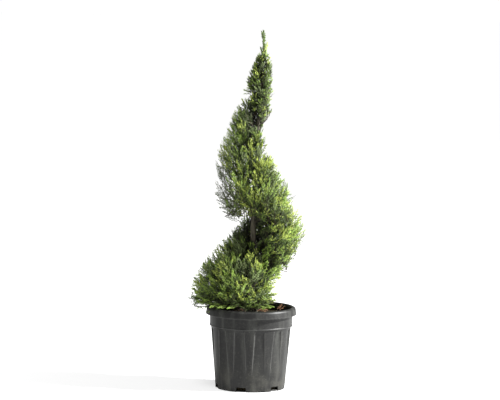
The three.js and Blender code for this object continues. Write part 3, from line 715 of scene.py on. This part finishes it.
def in_room(points, turn, slack):
    """Whether points are within the ribbon's reach and a slack, and clear of other turns, trunk and pot."""
    middle = trunk_middle(points[..., 2])
    x, y = points[..., 0] - middle[..., 0], points[..., 1] - middle[..., 1]
    past = -np.arctan2(y, x) * 2 / np.pi - turn
    here = turn + past - 4 * np.round(past / 4)
    radius, height = np.hypot(x, y), points[..., 2]
    ok = (radius < reach_at(here, height) + slack) & (radius > trunk_radius(height) + 1)
    ok &= (height < boundary(here) - 1) & ((here < 4) | (height > boundary(here - 4) + 1))
    from_axis = np.hypot(points[..., 0], points[..., 1])
    ok &= height > np.where((from_axis > 64) & (from_axis < RIM_RADIUS + 2), OVER_RIM, 6)
    return ok & (here > FIRST_TURN - 0.2)


def grown_tufts():
    """Every tuft's tip, aim, length, turn, layer and thinness. It aims level at the ribbon's foot and rises
    towards its top, about the way its turn faces, and its tip is at its layer's share of the reach. One that
    would start out of its turn is half as long."""
    rng = np.random.default_rng(61)
    at_foot, more, scatter = TUFT_RISE
    rows = []
    for layer, (count, low, high) in enumerate(LAYERS):
        turn, height = spread(count, rng)
        share = low + (high - low) * rng.beta(2.2, 1.9, count) + 0.05 * thinly_grown(turn, height)
        share = share * (1 - LIGHT_SIDE * np.cos(turn * np.pi / 2))
        edge, reach, foot, _, top, _ = ribbon_at(turn)
        up = np.clip((height - foot) / (top - foot), 0, 1)
        length = TUFT_LENGTH * np.clip(0.28 + reach / 230, 0.42, 1) * rng.uniform(0.85, 1.15, count)
        held = reach_at(turn, height) * share
        length = np.minimum(length, 0.85 * held + 16)
        steepest = np.arcsin(np.clip((height - floor_at(turn) - 2) / length, 0, 1))
        rise = np.radians(at_foot + more * up**0.42 + rng.normal(0, scatter, count))
        rise = np.minimum(rise, steepest)[:, None]
        aim = outward(turn - 0.36 * rng.normal(0, 1, count)) * np.cos(rise) + UP * np.sin(rise)
        tip = point_at(turn, held, height)
        length = np.where(in_room(tip - aim * length[:, None], turn, 4), length, 0.5 * length)
        rows.append((tip, aim, length, turn, np.full(count, layer), thinly_grown(turn, height)))
    return [np.concatenate(column) for column in zip(*rows)]


def grown_sprays(tip, aim, length, turn):
    """Every spray's root, aim, facing, length and tuft. All but a tuft's last lean away from its aim, each on
    another side and shorter the nearer it starts to the tip, turn up a little, and face out and up."""
    rng = np.random.default_rng(63)
    many, kinds = len(tip), len(SPRAY_STARTS)
    across = unit(np.cross(aim, rng.normal(size=(many, 3))))[:, None]
    beyond = np.cross(aim, across[:, 0])[:, None]
    roll = (rng.uniform(0, 6.3, (many, 1)) + SPRAY_ROUND * np.arange(kinds))[..., None]
    lean = np.radians(rng.uniform(*SPRAY_LEAN, (many, kinds)))
    lean[:, -1] *= 0.15
    leaning = (across * np.cos(roll) + beyond * np.sin(roll)) * np.sin(lean)[..., None]
    spray_aim = unit(aim[:, None] * np.cos(lean)[..., None] + leaning + UP * 0.12)
    size = (0.7 - 0.5 * SPRAY_STARTS) * rng.uniform(0.85, 1.15, (many, kinds))
    size[:, -1] = LAST_SPRAY
    start = (SPRAY_STARTS * length[:, None])[..., None]
    root = (tip - aim * length[:, None])[:, None] + aim[:, None] * start
    facing = square_to(spray_aim, outward(turn)[:, None] * 0.7 + UP)
    tilt = rng.normal(0, 0.7, (many, kinds, 1))
    facing = facing * np.cos(tilt) + np.cross(spray_aim, facing) * np.sin(tilt)
    owner = np.repeat(np.arange(many), kinds)
    lines = [part.reshape(many * kinds, -1) for part in (root, spray_aim, facing)]
    return [*lines, (size * length[:, None]).ravel(), owner]


tip, aim, tuft_length, tuft_turn, layer, thin = grown_tufts()
sprays = grown_sprays(tip, aim, tuft_length, tuft_turn)
kept = np.random.default_rng(64).uniform(0, 1, len(sprays[0])) > THINNED * thin[sprays[-1]]
root, spray_aim, facing, spray_length, owner = (part[kept] for part in sprays)

# Single sprigs by their growth, each with its root, aim, length and breadth: the leader's, strays past the
# low edge, and fillings between the first two turns and under the spire.
LEADER_FULLER = 5, 1.25  # how many of the leader's sprigs are fuller, and by how much
SPRIGS = {
    "old_growth_green": [
        ((30.5, 1, 896), (-0.02, 0, 1), 48, 0.9),
        ((30, 1, 914), (-0.03, 0, 1), 46, 0.8),
        ((29.5, 1, 932), (-0.03, 0, 1), 44, 0.8),
        ((29, 1, 950), (-0.05, 0, 1), 44, 0.8),
        ((28.5, 1, 962), (-0.3, -0.1, 0.9), 30, 0.6),
        ((28, 2, 896), (-0.28, 0.1, 0.95), 40, 0.7),
        ((-166, -20, 54), (-1, -0.04, 0.0), 56, 0.7),
        ((-146, -44, 46), (-0.95, -0.2, -0.02), 46, 0.7),
        ((16, -14, 150), (0.3, -0.6, 0.75), 58, 0.8),
        ((22, -16, 190), (0.5, -0.6, 0.6), 56, 0.8),
        ((20, -14, 232), (0.2, -0.7, 0.7), 58, 0.8),
        ((24, -12, 274), (0.5, -0.5, 0.7), 52, 0.8),
        ((-16, -10, 196), (-0.4, -0.5, 0.75), 54, 0.8),
        ((-18, -8, 236), (-0.5, -0.4, 0.75), 50, 0.8),
        ((8, -6, 768), (-0.65, -0.1, 0.75), 50, 0.7),
        ((10, -6, 790), (-0.6, -0.1, 0.8), 46, 0.7),
    ],
    "sparse_growth": [
        ((-52, -20, 378), (-0.88, 0, 0.47), 92, 0.55),
        ((-50, 12, 366), (-0.93, 0.1, 0.36), 84, 0.55),
        ((-46, -12, 352), (-0.95, -0.1, 0.31), 76, 0.55),
        ((-42, 6, 338), (-0.96, 0.1, 0.28), 68, 0.55),
        ((-38, -4, 322), (-0.95, 0, 0.3), 64, 0.55),
    ],
    "new_growth_green": [
        ((-104, -98, 42), (-0.72, -0.66, -0.06), 66, 0.55),
        ((-76, -108, 40), (-0.75, -0.6, -0.05), 60, 0.5),
        ((-44, -112, 40), (-0.7, -0.66, -0.06), 58, 0.5),
        ((36, -96, 42), (0.74, -0.64, -0.12), 46, 0.8),
        ((46, -78, 40), (0.93, -0.36, -0.14), 38, 0.7),
        ((24, -112, 40), (0.6, -0.78, -0.14), 46, 0.8),
        # Painted light: these seven fillings in the recess right of the trunk take the bright new growth's
        # colour so that they read lighter in the shade there.
        ((26, -24, 150), (0.5, -0.5, 0.7), 62, 1),
        ((34, -20, 182), (0.4, -0.6, 0.7), 62, 1),
        ((30, -22, 214), (0.6, -0.5, 0.6), 60, 1),
        ((40, -18, 242), (0.5, -0.6, 0.6), 58, 1),
        ((44, -24, 132), (0.7, -0.4, 0.6), 62, 1),
        ((52, -20, 200), (0.4, -0.6, 0.7), 60, 1),
        ((20, -20, 120), (0.2, -0.6, 0.8), 60, 1),
    ],
    "new_growth_lime": [
        ((30, 0, 898), (0.2, -0.2, 0.95), 56, 0.7),
        ((30, -60, 84), (0.85, -0.3, 0.35), 60, 0.9),
        ((34, -50, 102), (0.9, -0.2, 0.3), 58, 0.9),
        ((42, -40, 66), (0.93, -0.2, 0.2), 52, 0.9),
        ((38, -70, 52), (0.9, -0.3, 0.1), 54, 0.9),
        ((48, -46, 120), (0.9, -0.2, 0.25), 60, 0.9),
    ],
}


# --------------------------------------------------
# Leaves. Tiny scales wrap the last shoots of each spray, which are no thicker than a match and stand in two
# ranks along its axis, bright at the tips and dull where they are old. Dry reddish ones lie on the soil.

PATTERNS = 8  # different sprays, laid out again and again
SHOOT_HALF_WIDTH = 1.35
LOWER_FACES = [[2, 1, 0], [3, 2, 0], [4, 3, 0], [1, 4, 0]]
SHOOT_FACES = np.array([*LOWER_FACES, [1, 2, 5], [2, 3, 5], [3, 4, 5], [4, 1, 5]])
# Shoots along a spray's axis, and smaller ones on each of the lowest.
SPRIG_SHOOTS = 14, 1
DEAD_SHOOTS = 9, 1
# Each layer's sprays: their shoots, breadth and fulness, and how much less full they are where it is thin.
LAYER_SPRAYS = [((11, 1), 0.66, 1, 0.25), ((9, 1), 0.66, 1.1, 0.25), ((8, 0), 1, 1.4, 0)]
DEAD_SPRIGS = 22
DEAD_DARK = "#6f4c37"
DEAD_LIGHT = "#9c7453"
NEW_FROM = 0.66  # the share of a tuft's length past which its shoots are new
NEW_FROM_UNDER_TOP = 0.78
# Below this height half the tufts take the old growth's darker colour as painted shade of the turns above.
LOW_SHADE_HEIGHT = 62  # the height under which only every other tuft has new shoots


def slanted(slant, roll):
    """Directions that lean from the spray's axis by slant, on the side that roll gives."""
    return np.stack([np.cos(slant), np.sin(slant) * np.sin(roll), np.sin(slant) * np.cos(roll)], -1)


def spray_pattern(rng, shoots, forks):
    """One spray in shares of its length: each shoot's root, aim, length and width. Side shoots leave the axis
    left and right in turn, shorter and steeper to the tip. Low ones bear smaller ones, and three end it."""
    x = 0.08 + 0.84 * (np.arange(shoots) / (shoots - 1)) ** 0.92 + rng.uniform(-0.012, 0.012, shoots)
    roll = np.where(np.arange(shoots) % 2, 1, -1) * np.pi / 2 + rng.normal(0, 0.5, shoots)
    aim = slanted(np.radians(42 - 18 * x + rng.uniform(-7, 7, shoots)), roll)
    length = 0.3 * (1 - x) ** 0.6 * (0.55 + 0.45 * np.minimum(1, x / 0.25)) + 0.1
    length = length * rng.uniform(0.8, 1.2, shoots)
    root = x[:, None] * np.array([1.0, 0, 0])
    bearer = np.repeat(np.arange(shoots), np.where(x < 0.5, forks, np.where(x < 0.72, 1, 0)))
    order = np.arange(len(bearer)) % 2
    share = 0.3 + 0.24 * order + rng.uniform(-0.05, 0.05, len(bearer))
    flank = unit(np.cross(aim[bearer], np.cross([1.0, 0, 0], aim[bearer])))
    flank = flank + rng.normal(0, 0.45, (len(bearer), 3))
    lean = np.where(order, 1, -1) * np.radians(rng.uniform(26, 42, len(bearer)))
    fork_aim = unit(aim[bearer] * np.cos(lean)[:, None] + flank * np.sin(lean)[:, None])
    fork_root = root[bearer] + aim[bearer] * (share * length[bearer])[:, None]
    fork_length = 0.5 * length[bearer] + 0.05
    end_aim = slanted(np.radians([3, 17, 15]), rng.uniform(0, 6.3, 3))
    end_root = np.array([0.84, 0.78, 0.81])[:, None] * np.array([1.0, 0, 0])
    roots, aims = np.concatenate([root, fork_root, end_root]), np.concatenate([aim, fork_aim, end_aim])
    lengths = np.concatenate([length, fork_length, [0.17, 0.13, 0.13]])
    return roots, aims, lengths, rng.uniform(0.85, 1.15, len(lengths))


def shoot_points(roots, aims, lengths, widths):
    """A shoot's six points: its root, four about its thickest place, flatter one way, and its tip."""
    flat = unit(np.cross(aims, np.array([0.02, 0.05, 1.0]))) * widths[..., None]
    thin = np.cross(aims, flat) * 0.7
    middle = roots + aims * (0.42 * lengths)[..., None]
    tips = roots + aims * lengths[..., None]
    return np.stack([roots, middle + flat, middle + thin, middle - flat, middle - thin, tips], -2)


def leafed(roots, aims, facings, lengths, shoots, breadths, fulness, rng, patterns=None):
    """The shoots of many sprays, as (spray, shoot, point, xyz), and the sprays' arches: patterns laid along
    each aim, flat side to its facing, and arched out of it by the square of the way along. Breadths draw a
    spray in, fulness widens its shoots, and patterns come in turn unless given."""
    many = len(lengths)
    patterns = np.arange(many) % PATTERNS if patterns is None else patterns
    breadths, fulness = np.broadcast_to(breadths, many), np.broadcast_to(fulness, many)
    made = [spray_pattern(np.random.default_rng(80 + number), *shoots) for number in range(PATTERNS)]
    fewest = min(len(pattern[0]) for pattern in made)
    parts = (np.stack([values[-fewest:] for values in part])[patterns] for part in zip(*made))
    root, aim, length, width = parts
    size = lengths[:, None]
    root, length = root * size[..., None], length * size
    points = shoot_points(root, aim, length, width * SHOOT_HALF_WIDTH * fulness[:, None])
    along, across = points[..., 0] / size[..., None], points[..., 1:2] / size[..., None, None]
    arch = rng.uniform(-0.02, 0.2, len(lengths))[:, None, None]
    points[..., 1:] *= breadths[:, None, None, None]
    points[..., 2] += size[..., None] * (arch * along**2 - 0.3 * across[..., 0] ** 2)
    basis = np.stack([aims, np.cross(facings, aims), facings], 1)
    return np.einsum("nkpi,nij->nkpj", points, basis) + roots[:, None, None], arch[:, 0, 0]


def fallen_sprigs():
    """The dry sprigs' roots, aims, facings and lengths. One that would reach the wall points inwards instead,
    and the first three stand up towards the rim, at the back right."""
    place = crumb_places(DEAD_SPRIGS, np.random.default_rng(12)) + [0, 0, 2.5 - SOIL_TOP]
    place[:, :2] *= 0.88
    place[:3] = [(88, 50, 8), (96, 34, 6), (84, 66, 8)]
    turn = np.random.default_rng(13).uniform(0, 6.3, DEAD_SPRIGS)
    aim = unit(np.stack([np.cos(turn), np.sin(turn), 0.12 + 0 * turn], 1))
    aim[:3] = unit(np.array([(0.7, 0.3, 0.5), (0.8, 0.5, 0.35), (0.9, -0.1, 0.3)]))
    size = np.random.default_rng(14).uniform(20, 40, DEAD_SPRIGS)
    size[:3] = 28
    end = place + aim * size[:, None]
    aim[:, :2] *= np.where(np.hypot(*end[:, :2].T) > MOUTH_RADIUS - 8, -1, 1)[:, None]
    return place, aim, square_to(aim, UP), size


def shoot_mesh(points):
    """The points and triangles of shoots, raised to their heights above the floor."""
    starts = np.arange(0, points.size // 3, 6)[:, None, None]
    return upright(points.reshape(-1, 3)), (SHOOT_FACES + starts).reshape(-1, 3)


rng = np.random.default_rng(71)
pattern_of = rng.integers(0, PATTERNS, len(root))
arch, bearing = np.zeros((2, len(root)))  # each spray's, and the share of its shoots that are kept
sets = []
for number, (kind, breadth, full, slimmer) in enumerate(LAYER_SPRAYS):
    here = np.flatnonzero(layer[owner] == number)
    lines = (part[here] for part in (root, spray_aim, facing, spray_length))
    fulness = full - slimmer * thin[owner[here]]
    points, arch[here] = leafed(*lines, kind, breadth, fulness, rng, pattern_of[here])
    turn = tuft_turn[owner[here], None]
    fits = in_room(points[:, :, 5], turn, 1) & in_room(points[:, :, 0], turn, 1)
    bearing[here] = fits.mean(1)
    of = np.broadcast_to(owner[here, None], fits.shape)[fits]
    past = ((points[:, :, 5][fits] - tip[of]) * aim[of]).sum(1) / tuft_length[of] + 1
    sets.append((points[fits], of, past))
shoots, shoot_tuft, shoot_past = (np.concatenate(part) for part in zip(*sets))

sprig_kind = np.repeat(list(SPRIGS), [len(kind) for kind in SPRIGS.values()])
every = [sprig for kind in SPRIGS.values() for sprig in kind]
sprig_root, sprig_aim, sprig_length, sprig_breadth = (np.array(part, float) for part in zip(*every))
sprig_fulness = np.where(np.arange(len(every)) < LEADER_FULLER[0], LEADER_FULLER[1], 1.0)
sprig_aim = unit(sprig_aim)
sprig_facing = unit(np.cross(sprig_aim, np.cross([0.2, -1.0, 0.1], sprig_aim)))
sprig_lines = sprig_root, sprig_aim, sprig_facing, sprig_length
sprigs, sprig_arch = leafed(*sprig_lines, SPRIG_SHOOTS, sprig_breadth, sprig_fulness, rng)

dead, _ = leafed(*fallen_sprigs(), DEAD_SHOOTS, 0.9, 0.75, rng)
material = Finish("dry_sprigs", Roughness=0.8).clouded(12, 2, 0.15, tone(DEAD_DARK), tone(DEAD_LIGHT))
made_piece("dry_sprigs_on_soil", *shoot_mesh(dead), material, "foliage")

# Each shoot's growth: new, old, see-through or inner, and its colour by its tuft's share of the tints.
tint = np.random.default_rng(72).uniform(0, 1, len(tip))[shoot_tuft]
level, see_through, height = layer[shoot_tuft], thin[shoot_tuft] > 0.5, shoots[:, 5, 2]
new_from = NEW_FROM + (NEW_FROM_UNDER_TOP - NEW_FROM) * smooth(height, 640, 720)
face = (level == 0) & ~see_through
inner = (level == 1) & ~see_through
new = face & (shoot_past + 0.09 * rng.normal(0, 1, len(shoots)) > new_from)
# Painted shade: low down, half the tufts have no new shoots, so they show the darker old growth.
new &= (height > LOW_SHADE_HEIGHT) | (tint > 0.5)
old = face & ~new
GROWTH = {
    "new_growth_lime": ("#aebf55", new & (tint < 0.4)),
    "new_growth_green": ("#8aa647", new & (tint >= 0.4) & (tint < 0.8)),
    "new_growth_grey": ("#788954", new & (tint >= 0.8)),
    "old_growth_green": ("#546830", old & (tint < 0.5)),
    "old_growth_olive": ("#47562e", old & (tint >= 0.5)),
    "sparse_growth": ("#69724f", see_through & (level < 2)),
    # The inner and deep colours are partly the duller older growth inside the crown and partly painted shade
    # of the foliage over it.
    "inner_growth_and_shade_green": ("#354321", inner & (tint < 0.5)),
    "inner_growth_and_shade_olive": ("#333c20", inner & (tint >= 0.5)),
    "deep_growth_and_shade": ("#232b16", level == 2),
}
OLDER = 0.75  # how light a shoot's darker clouds are
foliage_nodes = [f"foliage_{i + 1:02d}" for i in range(len(MASS_TURNS))]
for name, (code, chosen) in GROWTH.items():
    leaf = Finish(name, Roughness=0.5, Specular_IOR_Level=0.4)
    darker = (*(OLDER * share for share in tone(code)[:3]), 1.0)
    points = np.concatenate([shoots[chosen], sprigs[sprig_kind == name].reshape(-1, 6, 3)])
    material = leaf.clouded(20, 2, 0.2, darker, tone(code))
    made_piece(name, *shoot_mesh(points), material, "foliage", foliage_nodes)


# --------------------------------------------------
# Twigs. The stem of each mass goes on from its bough, branches to every tuft, and runs out along its twig
# into the axes of its sprays. Thin young bark, brown on the branches and green on the last of them.

STEM_STEPS = 61
BRANCH_STEPS = 6
TWIG_STEPS = 4
TWIG_BROWN = "#3d3626"
TWIG_GREEN = "#4c5329"


def bowed(start, end, sag, steps):
    """Lines from starts to ends that sag in the middle by a share of their length: quadratic curves."""
    t = np.linspace(0, 1, steps)[None, :, None]
    middle = 0.5 * (start + end) - UP * sag * np.linalg.norm(end - start, axis=1, keepdims=True)
    return (1 - t) ** 2 * start[:, None] + 2 * t * (1 - t) * middle[:, None] + t**2 * end[:, None]


def tapered(first, last, steps, many):
    """Radii that go evenly from the first to the last along each of many lines."""
    return np.linspace(first, last, steps) * np.ones((many, 1))


def mass_stems():
    """A line for each mass: its limb past the bough, or all of one on top, drawn in where it is clipped."""
    starts = np.where(np.arange(len(limbs)) < RIBBON_MASSES, bough_end - 1, 0)
    lines = np.stack([evenly(limb[start:], STEM_STEPS) for limb, start in zip(limbs, starts)])
    near = trunk_middle(lines[..., 2])
    drawn = BARE_SIDE * ((MASS_TURNS > 7) & (MASS_TURNS < 8))[:, None]
    drawn = drawn * smooth(np.linspace(0, 1, STEM_STEPS), 0, 0.4)
    return near + (lines - near) * (1 - drawn[..., None])


def branch_starts(hub, turn):
    """Where on its mass's stem, or on the trunk past the seventh quarter turn, each tuft's branch begins:
    below the tuft by part of its distance from the trunk."""
    away = np.linalg.norm((hub - trunk_middle(hub[:, 2]))[:, :2], axis=1)
    mass = np.clip(((turn - FIRST_TURN) / MASS_SPAN).astype(int), 0, RIBBON_MASSES - 1)
    on_top = RIBBON_MASSES + (turn > TOP_START + TOP_SPAN)
    mass = np.where(turn > TOP_START, on_top, mass)
    low, high = stems[mass, 0, 2], stems[mass, -1, 2]
    step = (hub[:, 2] - 0.4 * away - low) / (high - low) * STEM_STEPS
    on_stem = stems[mass, np.clip(step, 0, STEM_STEPS - 1).astype(int)]
    return np.where((turn > 7)[:, None], trunk_middle(hub[:, 2] - 0.8 * away), on_stem)


stems = mass_stems()
stem_radii = np.linspace(0.6, 0, STEM_STEPS) * limb_radius[:, None] + np.linspace(0, 1.4, STEM_STEPS)
hub = tip - aim * tuft_length[:, None]
leafy = (np.bincount(owner, bearing, len(tip)) > 2) & in_room(hub, tuft_turn, 8)
branches = bowed(branch_starts(hub, tuft_turn), hub, 0.08, BRANCH_STEPS)[leafy]
twigs = bowed(hub, hub + aim * (0.5 * tuft_length)[:, None], 0.02, TWIG_STEPS)[leafy]
many = leafy.sum()
wood = [
    skins(limb_rings(stems[:, ::3], stem_radii[:, ::3], 8)),
    skins(limb_rings(branches, tapered(2, 1.3, BRANCH_STEPS, many), 4)),
    skins(limb_rings(twigs, tapered(1.3, 0.8, TWIG_STEPS, many), 4)),
]
material = Finish("young_bark", Roughness=0.8).clouded(14, 3, 0.15, tone(BARK_CRACK), tone(TWIG_BROWN))
made_piece("stems_and_twigs", *joined(*wood), material, "bark")

bears = (bearing > 0.35) & leafy[owner]
grown = root, spray_aim, facing, spray_length, arch
single = *sprig_lines, sprig_arch
every = (np.concatenate([one[bears], other]) for one, other in zip(grown, single))
roots, aims, facings, lengths, arches = every
t = np.linspace(0, 0.84, TWIG_STEPS)[None, :, None]
axes = aims[:, None] * t + facings[:, None] * arches[:, None, None] * t**2
axes = roots[:, None] + axes * lengths[:, None, None]
axis_rings = limb_rings(axes, tapered(0.85, 0.45, TWIG_STEPS, len(axes)), 3)
material = Finish("green_bark", Roughness=0.7).clouded(18, 2, 0.15, tone(TWIG_BROWN), tone(TWIG_GREEN))
made_piece("spray_axes", *skins(axis_rings), material, "foliage", ["leader"])


# --------------------------------------------------
# Studio. A plain pale floor that runs on into pale surroundings, a strong light high on the right, a little
# in front, a weaker one overhead on the left, and a long lens a little above the plant's height.

FLOOR_SPAN = 60.0
SKY_LIGHT = 0.36  # what the surroundings shed on things
SKY_SEEN = 1.02
floor_mesh = bpy.data.meshes.new("studio_floor")
corners = [(x * FLOOR_SPAN, y * FLOOR_SPAN, 0) for x, y in ((-1, -1), (1, -1), (1, 1), (-1, 1))]
floor_mesh.from_pydata(corners, [], [(0, 1, 2, 3)])
floor = bpy.data.objects.new("studio_floor", floor_mesh)
scene.collection.objects.link(floor)
# The floor glows as painted light: near white to the camera, dimmer within about two metres of the plant so
# that its shadow shows, and faint to other rays.
paper = Finish("studio_paper", Roughness=0.9, Specular_IOR_Level=0.1, Emission_Strength=0.79)
seen = paper.node("ShaderNodeLightPath", {}, {}, 0)
away = METRE * paper.node("ShaderNodeVectorMath", {"operation": "LENGTH"}, {0: paper.place}, 1)
glow = paper.mix(away.between(350, 2200), (0.68, 0.68, 0.68, 1), (1, 1, 1, 1))
lit = paper.mix(seen, (0.1, 0.1, 0.1, 1), glow)
pale = paper.mix(paper.noise(900, 2), (0.56, 0.56, 0.56, 1), (0.6, 0.6, 0.6, 1))
floor_mesh.materials.append(paper.finish(Base_Color=pale, Emission_Color=lit))

world = bpy.data.worlds.new("studio")
world.use_nodes = True
nodes, links = world.node_tree.nodes, world.node_tree.links
seen, strength = nodes.new("ShaderNodeLightPath"), nodes.new("ShaderNodeMapRange")
strength.inputs["To Min"].default_value = SKY_LIGHT
strength.inputs["To Max"].default_value = SKY_SEEN
links.new(seen.outputs["Is Camera Ray"], strength.inputs["Value"])
links.new(strength.outputs[0], nodes["Background"].inputs["Strength"])
nodes["Background"].inputs["Color"].default_value = (1, 1, 1, 1)
scene.world = world
scene.view_settings.view_transform = "Standard"


def softbox(name, place, size, power):
    """A square light that faces the plant's heart."""
    light = bpy.data.lights.new(name, "AREA")
    light.shape, light.size, light.energy = "SQUARE", size, power
    lamp = bpy.data.objects.new(name, light)
    heart = Vector((0, 0, cad_high.z * 0.5))
    lamp.location = place
    lamp.rotation_euler = (heart - Vector(place)).to_track_quat("-Z", "Y").to_euler()
    scene.collection.objects.link(lamp)


softbox("key_light", (4.3, -0.6, 3.2), 0.34, 1000)
softbox("top_light", (-0.9, -1.3, 4.6), 1.4, 95)

CAMERA_PLACE = (0, -9.0, 1.5)
CAMERA_DIP = np.radians(5.323)
CAMERA_ROLL = np.radians(0.93)
CAMERA_YAW = np.radians(0.0672)
LENS_LENGTH = 185.976  # millimetres
SENSOR_WIDTH = 36
lens = bpy.data.cameras.new("camera")
lens.sensor_width = SENSOR_WIDTH
lens.lens = LENS_LENGTH
lens.clip_end = 400
camera = bpy.data.objects.new("camera", lens)
facing = Matrix.Rotation(CAMERA_YAW, 4, "Z") @ Matrix.Rotation(np.pi / 2 - CAMERA_DIP, 4, "X")
camera.matrix_world = Matrix.Translation(CAMERA_PLACE) @ facing @ Matrix.Rotation(CAMERA_ROLL, 4, "Z")
scene.collection.objects.link(camera)
scene.camera = camera
